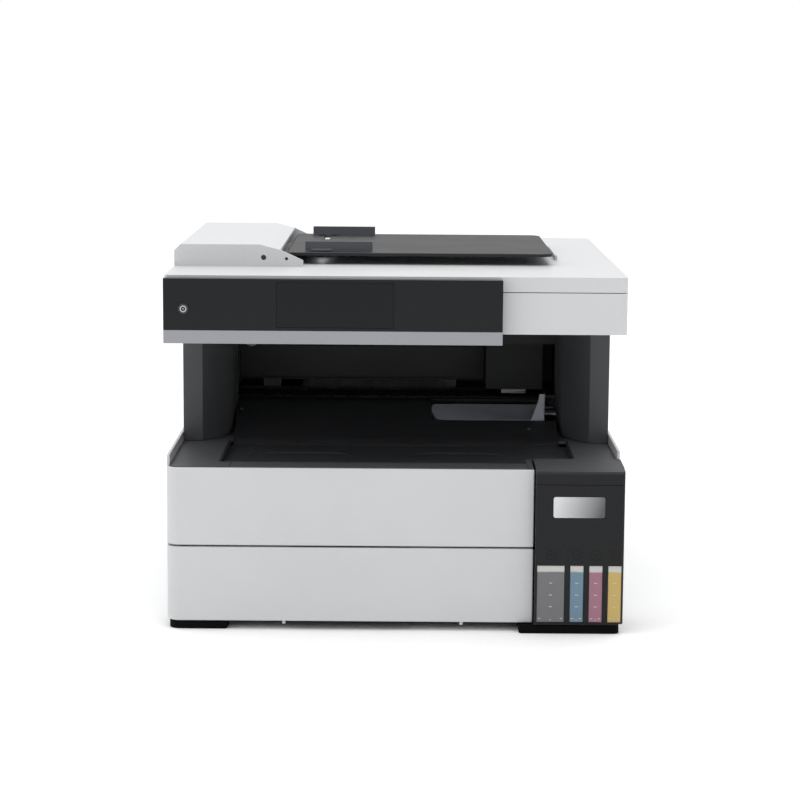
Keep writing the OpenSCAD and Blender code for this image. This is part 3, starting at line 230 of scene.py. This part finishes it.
def toothed_rubber(name, colour):
    """Moulded neoprene: dull black, with teeth at a 2 mm pitch that run up and down."""
    material, tree, shader, place = finish(name, Roughness=0.72, Sheen_Weight=0.1)
    pitch = 2 * MM
    teeth = add(tree, "TexWave", {"wave_type": "BANDS", "bands_direction": "X",
                                  "Scale": 2 * math.pi / 20 / pitch}, {"Vector": place}).outputs["Fac"]
    dust = add(tree, "TexNoise", {"Scale": 1 / (5 * MM), "Detail": 4.0}, {"Vector": place}).outputs["Fac"]
    tone = add(tree, "MixRGB", {"Color1": linear(colour), "Color2": linear("#343436")},
               {"Fac": dust}).outputs["Color"]
    bump = add(tree, "Bump", {"Strength": 0.5, "Distance": 0.4 * MM}, {"Height": teeth}).outputs["Normal"]
    wire(shader, Base_Color=tone, Normal=bump)
    return material


def cover_glass(name, colour, roughness, **sockets):
    """Float or cover glass: clear gloss with a faint film of dust in its roughness."""
    material, tree, shader, place = finish(name, Base_Color=linear(colour), IOR=1.5, **sockets)
    film = add(tree, "TexNoise", {"Scale": 1 / (30 * MM), "Detail": 5.0}, {"Vector": place}).outputs["Fac"]
    haze = add(tree, "MapRange", {"To Min": roughness, "To Max": roughness + 0.06},
               {"Value": film}).outputs["Result"]
    wire(shader, Roughness=haze)
    return material


tank_names = ("black_tank", "cyan_tank", "magenta_tank", "yellow_tank")
ink_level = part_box("black_tank")[0].z + 48 * MM
ring_z = 75.8 * MM
badge_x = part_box("tank_housing")[0].x + 40.5 * MM
badge_z = 121 * MM
tank_face_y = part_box("tank_housing")[0].y

slots = {
    # casings: a matt grain that keeps the wide faces soft
    "light_plastic": moulded_plastic("moulded_light_grey_abs", "#c3c4c6", 0.42),
    "black_plastic": moulded_plastic("moulded_black_polystyrene", "#222325", 0.55, Specular_IOR_Level=0.3),
    "deck_plastic": moulded_plastic("moulded_charcoal_abs", "#464749", 0.5, Specular_IOR_Level=0.35),
    "foot_plastic": moulded_plastic("moulded_black_elastomer", "#070708", 0.8, Specular_IOR_Level=0.1),
    "gloss_black": moulded_plastic("polished_black_abs", "#141517", 0.28, relief=0.05,
                                   Specular_IOR_Level=0.22),
    "grey_plastic": moulded_plastic("moulded_dark_grey_abs", "#4b4e53", 0.5),
    # the print engine: drawn-out highlights on bare metal, dull ones on rubber and coated sheet
    "zinc_steel": metal("zinc_plated_sheet", "#c2c5c9", 0.34, 1.5),
    "belt_rubber": toothed_rubber("neoprene_belt", "#1c1c1d"),
    # partly painted shade: the rail frame's black is partly its coating and partly painted shade for the
    # shadow over the rails
    "coated_steel": moulded_plastic("black_coated_sheet_and_painted_shade", "#1e1f21", 0.5, grain=0.9, relief=0.3),
    "white_acetal": moulded_plastic("natural_acetal", "#dcd7ca", 0.35, relief=0.05, Subsurface_Weight=0.1),
    "head_metal": metal("anodised_head_plate", "#9a9ea3", 0.3, 0.8),
    "circuit_board": circuit_board(),
    # the ink's way: smoky and milky walls that let some light in
    "smoked_plastic": moulded_plastic("smoked_polycarbonate", "#a3a8b2", 0.22, relief=0.05,
                                      Transmission_Weight=0.3, IOR=1.58),
    "tube_plastic": moulded_plastic("silicone_ink_tube", "#3a3c40", 0.3, relief=0.02, Coat_Weight=0.3),
    "ink_black": filled_tank("polypropylene_tank_black", "#68686a", ink_level),
    "ink_cyan": filled_tank("polypropylene_tank_cyan", "#627f92", ink_level),
    "ink_magenta": filled_tank("polypropylene_tank_magenta", "#986778", ink_level),
    "ink_yellow": filled_tank("polypropylene_tank_yellow", "#bda25c", ink_level),
    "cap_black": moulded_plastic("moulded_cap_black", "#2b2b2d", 0.4),
    "cap_cyan": moulded_plastic("moulded_cap_cyan", "#1f6fa8", 0.4),
    "cap_magenta": moulded_plastic("moulded_cap_magenta", "#b03a72", 0.4),
    "cap_yellow": moulded_plastic("moulded_cap_yellow", "#d6b21e", 0.4),
    # the scanner: clear and dark glass, and a pad that takes no highlight
    "clear_glass": cover_glass("float_glass", "#eef4f3", 0.02, Transmission_Weight=1.0),
    "screen_glass": cover_glass("screen_cover_glass", "#0b0d11", 0.12, Specular_IOR_Level=0.22),
    "white_foam": moulded_plastic("white_foam_pad", "#f0f0ee", 0.85, grain=1.6, relief=0.6),
}
# finishes of single pieces: a glossier tank front, darker recesses, a paler grip and bare fittings
tank_front = moulded_plastic("polished_black_abs_printed", "#141517", 0.28, relief=0.05,
                             Specular_IOR_Level=0.22)
printed_mark(tank_front, [(middle(tank).x, ring_z) for tank in tank_names],
             radius=4.3 * MM, line=0.5 * MM, dot=1.3 * MM, colour="#050506")
button_face = moulded_plastic("moulded_button_abs", "#26272a", 0.4)
button = middle("power_button")
printed_mark(button_face, [(button.x, button.z)],
             radius=2.6 * MM, line=0.35 * MM, dot=0.5 * MM, colour="#c9cacc")
badge_metal = metal("satin_aluminium_painted_reflection", "#e4e5e7", 0.3, 1.2)
# painted reflection on the badge: light at its upper left, dark at its lower right
painted_reflection_sweep(badge_metal, "#ececec", "#666769",
       start=(badge_x - 20.5 * MM, tank_face_y, badge_z + 7 * MM),
       end=(badge_x + 21.5 * MM, tank_face_y, badge_z - 7 * MM))
screw_steel = metal("black_zinc_screw", "#8a8c90", 0.3, 0.6)
tinned_steel = metal("tinned_steel_shell", "#c9ccd0", 0.28, 0.8)
gilt_brass = metal("gilt_contact", "#d8b25a", 0.22, 0.6)
mark_plastic = moulded_plastic("raised_level_mark", "#b9bab8", 0.4, relief=0.02)
lip_plastic = moulded_plastic("moulded_silver_grey_abs", "#909197", 0.42)
lid_plastic = moulded_plastic("satin_black_abs", "#141517", 0.42, relief=0.05, Specular_IOR_Level=0.25)
# painted highlight: the lid's top is coloured lighter than its front for the light on it; its grain and
# dullness are its own
lid_top_painted_light = moulded_plastic("spark_eroded_abs_painted_lighter", "#424345", 0.55, relief=0.4,
                                  Specular_IOR_Level=0.35)
recess_plastic = moulded_plastic("moulded_black_abs", "#303134", 0.52, Specular_IOR_Level=0.3)
own_finish = {"tank_housing": tank_front, "tank_lid": lid_plastic, "output_tray": recess_plastic,
              "power_button": button_face}

for name, node in nodes.items():
    node.material_slots[0].material = own_finish.get(name, slots[slot_of[name]])


# ---- shapes ----

def only(piece):
    """Selects this piece alone and makes it active."""
    bpy.ops.object.select_all(action="DESELECT")
    piece.select_set(True)
    bpy.context.view_layer.objects.active = piece


def placed():
    """The piece just added, with its place, turn and size applied."""
    bpy.ops.object.transform_apply(location=True, rotation=True, scale=True)
    return bpy.context.object


def pick(piece, kind, wanted):
    """Opens the piece in edit mode with only its wanted edges or faces selected."""
    bpy.ops.object.mode_set(mode="EDIT")
    bpy.ops.mesh.select_mode(type=kind)
    bpy.ops.mesh.select_all(action="DESELECT")
    bpy.ops.object.mode_set(mode="OBJECT")
    for element in piece.data.edges if kind == "EDGE" else piece.data.polygons:
        element.select = wanted(element)
    bpy.ops.object.mode_set(mode="EDIT")


def smooth(piece, angle=38):
    """Smooth shading that stays flat across the wide faces."""
    only(piece)
    bpy.ops.object.shade_smooth_by_angle(angle=math.radians(angle))
    weigh = piece.modifiers.new("flat_faces", "WEIGHTED_NORMAL")
    weigh.keep_sharp = True
    weigh.weight = 100
    bpy.ops.object.modifier_apply(modifier=weigh.name)


def apply_bevel(piece, width, segments, angle=40):
    """Rounds the sharp edges and applies the rounding."""
    only(piece)
    rounding = piece.modifiers.new("rounded_edges", "BEVEL")
    rounding.width = width
    rounding.segments = segments
    rounding.limit_method = "ANGLE"
    rounding.angle_limit = math.radians(angle)
    rounding.miter_outer = "MITER_ARC"
    rounding.use_clamp_overlap = True
    bpy.ops.object.modifier_apply(modifier=rounding.name)


def settle(piece, name, body, slot, material=None):
    """Puts the piece's place in its mesh, names it, gives it its finish and lets it ride on its body."""
    only(piece)
    bpy.ops.object.transform_apply(location=True, rotation=True, scale=True)
    piece.name = name
    piece.data.name = name
    piece.data.materials.clear()
    piece.data.materials.append(material or slots[slot])
    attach(piece, body)
    return piece


def soften(node, width, name=None, cut=None, material=None):
    """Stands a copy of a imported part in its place, with its triangles joined and its edges rounded.
    cut = (height, "above" or "below") keeps only that side of a level."""
    name = name or node + "_shell"
    piece = bpy.data.objects.new(name, nodes[node].data.copy())
    bpy.context.scene.collection.objects.link(piece)
    only(piece)
    bpy.ops.object.mode_set(mode="EDIT")
    bpy.ops.mesh.select_all(action="SELECT")
    bpy.ops.mesh.remove_doubles(threshold=0.002 * MM)
    bpy.ops.mesh.dissolve_limited(angle_limit=math.radians(0.4), use_dissolve_boundaries=False)
    if cut:
        height, side = cut
        bpy.ops.mesh.select_all(action="SELECT")
        bpy.ops.mesh.bisect(plane_co=(0, 0, height), plane_no=(0, 0, 1), use_fill=True,
                            clear_inner=side == "above", clear_outer=side == "below")
    bpy.ops.object.mode_set(mode="OBJECT")
    apply_bevel(piece, width * MM, 2)
    smooth(piece)
    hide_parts(node)
    return settle(piece, name, body_of[node], slot_of[node], material or own_finish.get(node))


# rounding of each part's edges, in mm
edge_radii = {
    "cassette_1_front": 1.5, "cassette_2_front": 1.2, "left_side_cover": 0.5, "right_side_cover": 0.5,
    "rear_panel": 0.5, "rear_door": 0.6, "top_deck": 0.4, "output_tray": 0.5, "output_flap": 0.5,
    "pillars": 0.7, "engine_hood": 0.5, "paper_guide": 0.5, "tank_housing": 0.5, "tank_lid": 0.6,
    "ink_tube_cover": 0.6, "base_frame": 0.5, "feet": 0.5, "scanner_base": 0.7, "scanner_frame": 0.4,
    "document_cover": 0.8, "adf_cover": 0.8, "adf_tray": 0.5, "adf_front_guide": 0.4,
    "adf_rear_guide": 0.4, "power_button": 0.3, "touch_screen": 0.25, "cover_pad": 0.8, "scan_bar": 0.8,
    "print_carriage": 0.8, "print_head": 0.4, "maintenance_box": 0.6, "power_supply": 0.5,
    "black_tank": 0.35, "cyan_tank": 0.35, "magenta_tank": 0.35, "yellow_tank": 0.35, "black_cap": 0.3,
    "cyan_cap": 0.3, "magenta_cap": 0.3, "yellow_cap": 0.3, "cassette_1_tray": 0.4,
    "cassette_2_tray": 0.4, "cassette_1_left_guide": 0.4, "cassette_1_right_guide": 0.4,
    "cassette_2_left_guide": 0.4, "cassette_2_right_guide": 0.4,
}
for node, radius in edge_radii.items():
    soften(node, radius)

# the tank lid is polished in front and spark-eroded on top, its top painted lighter as a painted highlight
lid_shell = bpy.data.objects["tank_lid_shell"]
lid_shell.data.materials.append(lid_top_painted_light)
lid_front_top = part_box("top_deck")[1].z - 1 * MM
for face in lid_shell.data.polygons:
    if face.normal.z > 0.8 and face.center.z > lid_front_top:
        face.material_index = 1

# the control panel is a dark face over a light grip along its lower edge
grip_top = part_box("panel_housing")[0].z + 12.3 * MM
soften("panel_housing", 0.5, name="panel_face", cut=(grip_top, "above"))
soften("panel_housing", 0.9, name="panel_grip", cut=(grip_top, "below"), material=lip_plastic)


# ---- fittings ----

def bar(low, high, radius):
    """A block between two corners, its edges rounded."""
    low, high = Vector(low), Vector(high)
    bpy.ops.object.select_all(action="DESELECT")
    bpy.ops.mesh.primitive_cube_add(size=1, location=(low + high) / 2, scale=high - low)
    piece = placed()
    apply_bevel(piece, radius, 2)
    return piece


def join(pieces):
    """Makes one mesh of several."""
    bpy.ops.object.select_all(action="DESELECT")
    for piece in pieces:
        piece.select_set(True)
    bpy.context.view_layer.objects.active = pieces[0]
    bpy.ops.object.join()
    return bpy.context.object


def badge_plate():
    """Plain satin plate in its bed: rounded corners, a fine raised rim and a low crown."""
    half_w, half_h, thickness, corner = 24 * MM, 9.85 * MM, 0.7 * MM, 2 * MM
    rim, crown_margin, rise, set_in = 0.15 * MM, 0.9 * MM, 0.1 * MM, 0.45 * MM
    bpy.ops.object.select_all(action="DESELECT")
    bpy.ops.mesh.primitive_cube_add(size=1, location=(badge_x, tank_face_y + set_in, badge_z),
                                    scale=(2 * half_w, thickness, 2 * half_h))
    plate = placed()
    points = plate.data.vertices

    def runs_back(edge):
        start, end = (points[i].co for i in edge.vertices)
        return abs(start.y - end.y) > thickness / 2

    pick(plate, "EDGE", runs_back)
    bpy.ops.mesh.bevel(offset=corner, segments=8, affect="EDGES")
    bpy.ops.object.mode_set(mode="OBJECT")
    pick(plate, "FACE", lambda face: face.normal.y < -0.9)
    bpy.ops.mesh.inset(thickness=rim)
    bpy.ops.transform.translate(value=(0, -rise, 0))
    bpy.ops.mesh.inset(thickness=crown_margin)
    bpy.ops.mesh.inset(thickness=rim)
    bpy.ops.transform.translate(value=(0, rise, 0))
    bpy.ops.object.mode_set(mode="OBJECT")
    smooth(plate, 30)
    return settle(plate, "badge_plate", "chassis", "head_metal", badge_metal)


def level_marks(node, half_w):
    """Moulded filling marks on a tank's window: three dashes, an upper dot, and the low line with its dot.
    half_w is half of the window's width in mm."""
    centre_x, face_y = middle(node).x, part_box(node)[0].y
    half_line = 0.35
    # each mark's place across, its height above the floor and half of its length, in mm
    marks = [(0, z, 1.5) for z in (49.1, 37.7, 26.5)] + [(0, 62.6, 0.5), (0, 14, 0.6)]
    marks += [(side * (half_w - 2.6), 15.2, 1.3) for side in (-1, 1)]
    dashes = [bar((centre_x + (x - w) * MM, face_y - 0.2 * MM, (z - half_line) * MM),
                  (centre_x + (x + w) * MM, face_y + 0.3 * MM, (z + half_line) * MM), 0.12 * MM)
              for x, z, w in marks]
    return settle(join(dashes), node + "_level_marks", "chassis", slot_of[node], mark_plastic)


def cross_screw(name, place, tilt, radius=2.2 * MM):
    """Pan-head screw in the chassis with a cross recess, its axis turned from +Z by tilt."""
    length, stand_out, recess_depth = 2.5 * MM, 0.9 * MM, 1.0 * MM
    bpy.ops.object.select_all(action="DESELECT")
    bpy.ops.mesh.primitive_cylinder_add(vertices=32, radius=radius, depth=length,
                                        location=(0, 0, stand_out - length / 2))
    head = bpy.context.object
    apply_bevel(head, 0.45 * MM, 3, 60)
    for turn in (0, math.pi / 2):
        bpy.ops.mesh.primitive_cube_add(size=1, location=(0, 0, stand_out), rotation=(0, 0, turn),
                                        scale=(radius * 1.1, radius * 0.28, recess_depth))
        slit = bpy.context.object
        cut = head.modifiers.new("cross", "BOOLEAN")
        cut.operation = "DIFFERENCE"
        cut.object = slit
        only(head)
        bpy.ops.object.modifier_apply(modifier=cut.name)
        bpy.data.objects.remove(slit)
    head.data.transform(Matrix.Translation(place) @ Euler(tilt).to_matrix().to_4x4())
    smooth(head, 30)
    return settle(head, name, "chassis", "zinc_steel", screw_steel)


def hanging_peg(name, x):
    """Natural acetal sliding peg under the lower cassette's front."""
    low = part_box("cassette_2_front")[0]
    bpy.ops.object.select_all(action="DESELECT")
    bpy.ops.mesh.primitive_cylinder_add(vertices=24, radius=1.7 * MM, depth=5 * MM,
                                        location=(x, low.y + 6 * MM, low.z - 1.2 * MM))
    peg = placed()
    apply_bevel(peg, 0.6 * MM, 3)
    smooth(peg)
    return settle(peg, name, "cassette_2", "white_acetal")


def open_frame(low, high, rim, depth):
    """A block whose rear face is sunk: a socket shell seen from behind the machine."""
    shell = bar(low, high, 0.3 * MM)
    facing_rear = [face for face in shell.data.polygons if face.normal.y > 0.99]
    rear = max(facing_rear, key=lambda face: face.area).index
    only(shell)
    pick(shell, "FACE", lambda face: face.index == rear)
    bpy.ops.mesh.inset(thickness=rim)
    bpy.ops.mesh.extrude_region_move(TRANSFORM_OT_translate={"value": (0, -depth, 0)})
    bpy.ops.object.mode_set(mode="OBJECT")
    smooth(shell)
    return shell


def data_socket(name, z, tongue_w, tongue_h, contacts):
    """Tinned socket shell on the main board, with its tongue and gilt contacts."""
    x, y = 190 * MM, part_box("main_board")[1].y
    half_w, half_h = 6.6 * MM, 5.8 * MM
    shell = open_frame((x - half_w, y - 1 * MM, z - half_h), (x + half_w, y + 2.6 * MM, z + half_h),
                       rim=0.8 * MM, depth=3.0 * MM)
    settle(shell, name + "_shell", "chassis", "zinc_steel", tinned_steel)
    left, top = x - tongue_w / 2, z + tongue_h / 2
    tongue = bar((left, y - 0.4 * MM, z - tongue_h / 2), (x + tongue_w / 2, y + 1.8 * MM, top), 0.3 * MM)
    settle(tongue, name + "_tongue", "chassis", "black_plastic")
    pitch = tongue_w / (contacts + 1)
    pads = [bar((left + pitch * (i + 0.7), y + 0.2 * MM, top - 0.1 * MM),
                (left + pitch * (i + 1.3), y + 1.7 * MM, top + 0.12 * MM), 0.05 * MM)
            for i in range(contacts)]
    settle(join(pads), name + "_contacts", "chassis", "zinc_steel", gilt_brass)


def mains_inlet():
    """Two-pin inlet: a black shroud with a deep pocket and two round pins."""
    x, y, z = 158 * MM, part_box("power_supply")[1].y, 33 * MM
    half_w, half_h = 11.6 * MM, 7.4 * MM
    shroud = open_frame((x - half_w, y - 1 * MM, z - half_h), (x + half_w, y + 2.8 * MM, z + half_h),
                        rim=1.6 * MM, depth=3.2 * MM)
    settle(shroud, "mains_inlet_shroud", "chassis", "black_plastic")
    pins = []
    for offset in (-4.3 * MM, 4.3 * MM):
        bpy.ops.object.select_all(action="DESELECT")
        bpy.ops.mesh.primitive_cylinder_add(vertices=20, radius=1.2 * MM, depth=2.8 * MM,
                                            rotation=(math.pi / 2, 0, 0),
                                            location=(x + offset, y + 1.0 * MM, z))
        pin = placed()
        apply_bevel(pin, 0.4 * MM, 3)
        pins.append(pin)
    pair = join(pins)
    smooth(pair)
    settle(pair, "mains_inlet_pins", "chassis", "zinc_steel", tinned_steel)


def louvres(name, low, high, count, axis):
    """A field of thin cooling fins between two corners, spread along one axis: 0, 1 or 2 for X, Y or Z."""
    low, high = Vector(low), Vector(high)
    pitch = (high[axis] - low[axis]) / count
    fins = []
    for i in range(count):
        start, end = low.copy(), high.copy()
        start[axis] = low[axis] + pitch * (i + 0.28)
        end[axis] = low[axis] + pitch * (i + 0.72)
        fins.append(bar(start, end, 0.3 * MM))
    settle(join(fins), name, "chassis", "black_plastic")


def size_ticks():
    """Raised paper size ticks beside the feeder tray's guide slots."""
    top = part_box("adf_tray")[1].z
    ticks = [bar((-52 * MM, y * MM - 0.3 * MM, top - 0.2 * MM),
                 (-46 * MM, y * MM + 0.3 * MM, top + 0.25 * MM), 0.1 * MM)
             for y in (-100, -84, -68, -56, 66, 78, 94, 110)]
    settle(join(ticks), "feeder_size_ticks", "feeder_tray", "grey_plastic")


badge_plate()
for tank, window_half in zip(tank_names, (12.9, 6.3, 6.3, 6.3)):
    level_marks(tank, window_half)

ramp_tilt = (math.radians(18.3), 0, 0)
cross_screw("ramp_screw_left", (-158.5 * MM, -16.5 * MM, 175.9 * MM), ramp_tilt, radius=1.8 * MM)
cross_screw("ramp_screw_right", (134.5 * MM, -54.5 * MM, 163.3 * MM), ramp_tilt, radius=1.8 * MM)
hanging_peg("cassette_peg_left", -104 * MM)
hanging_peg("cassette_peg_right", 63 * MM)

data_socket("data_socket", z=31 * MM, tongue_w=6 * MM, tongue_h=3.4 * MM, contacts=4)
data_socket("network_socket", z=51 * MM, tongue_w=9 * MM, tongue_h=2 * MM, contacts=8)
mains_inlet()

# the fins stand a little proud of the hood's walls
hood_low, hood_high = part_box("engine_hood")
sunk, proud = 0.5 * MM, 0.9 * MM
louvres("rear_louvres", (100 * MM, hood_high.y - sunk, 176 * MM),
        (190 * MM, hood_high.y + proud, 232 * MM), count=14, axis=2)
louvres("left_louvres", (hood_low.x - proud, 90 * MM, 186 * MM),
        (hood_low.x + sunk, 190 * MM, 244 * MM), count=16, axis=1)
louvres("right_louvres", (hood_high.x - sunk, 90 * MM, 186 * MM),
        (hood_high.x + proud, 190 * MM, 244 * MM), count=16, axis=1)
size_ticks()

# screws that face the rear: (x, z) of each in mm
rear_tilt = (math.radians(-90), 0, 0)
rear_wall_y = 239.5 * MM
for i, (x, z) in enumerate([(-203, 20), (-203, 142), (203, 20), (128, 20), (203, 146), (128, 142)]):
    cross_screw(f"rear_screw_{i + 1}", (x * MM, rear_wall_y, z * MM), rear_tilt)
for i, (x, z) in enumerate([(-200, 172), (200, 172), (90, 172)]):
    cross_screw(f"hood_screw_{i + 1}", (x * MM, hood_high.y, z * MM), rear_tilt)


# ---- studio ----

def area_light(name, place, size, power):
    """A white softbox that faces the machine's middle."""
    target = Vector((0, -0.1, 0.2))
    bpy.ops.object.light_add(type="AREA", location=place)
    lamp = bpy.context.object
    lamp.name = name
    lamp.data.shape = "RECTANGLE"
    lamp.data.size, lamp.data.size_y = size
    lamp.data.energy = power
    lamp.rotation_euler = (target - Vector(place)).to_track_quat("-Z", "Y").to_euler()


area_light("top_softbox", (0, -0.7, 2.6), size=(2.4, 1.8), power=16)
area_light("left_softbox", (-2.6, -1.8, 1.4), size=(1.4, 1.8), power=9)

# an even white room, a little dimmer in front of the machine than above and behind it
world = bpy.data.worlds.new("white_studio")
world.use_nodes = True
room = world.node_tree
facing = add(room, "SeparateXYZ", {}, {"Vector": add(room, "TexCoord").outputs["Generated"]})
walls = add(room, "MapRange", {"From Min": -0.9, "From Max": 0.6, "To Min": 0.6, "To Max": 1.0},
            {"Value": facing.outputs["Y"]}).outputs["Result"]
ceiling = add(room, "MapRange", {"From Min": 0.15, "From Max": 0.8, "To Min": 0.0, "To Max": 0.45},
              {"Value": facing.outputs["Z"]}).outputs["Result"]
strength = add(room, "Math", {"operation": "ADD"}, {0: walls, 1: ceiling}).outputs["Value"]
wire(room.nodes["Background"], Strength=strength)
room.nodes["Background"].inputs["Color"].default_value = (1, 1, 1, 1)
bpy.context.scene.world = world
bpy.context.scene.view_settings.view_transform = "Standard"

bpy.ops.mesh.primitive_circle_add(vertices=64, radius=60, fill_type="NGON", location=(0, 0, 0))
floor = bpy.context.object
floor.name = "studio_floor"
floor.data.materials.append(moulded_plastic("matt_white_floor", "#fafafa", 0.9, grain=3, relief=0.02,
                                            mottle=0.005))

# the camera looks down a little from far in front, with a long lens
pitch, yaw, roll = math.radians(90 - 8.46), math.radians(0.05), math.radians(0.40)
bpy.ops.object.camera_add(location=(0.0059, -2.3332, 0.5308))
camera = bpy.context.object
camera.name = "studio_camera"
camera.rotation_euler = (Matrix.Rotation(yaw, 3, "Z") @ Matrix.Rotation(pitch, 3, "X")
                         @ Matrix.Rotation(roll, 3, "Z")).to_euler()
camera.data.sensor_width = 36
camera.data.lens = 102.74
camera.data.clip_end = 100
bpy.context.scene.camera = camera
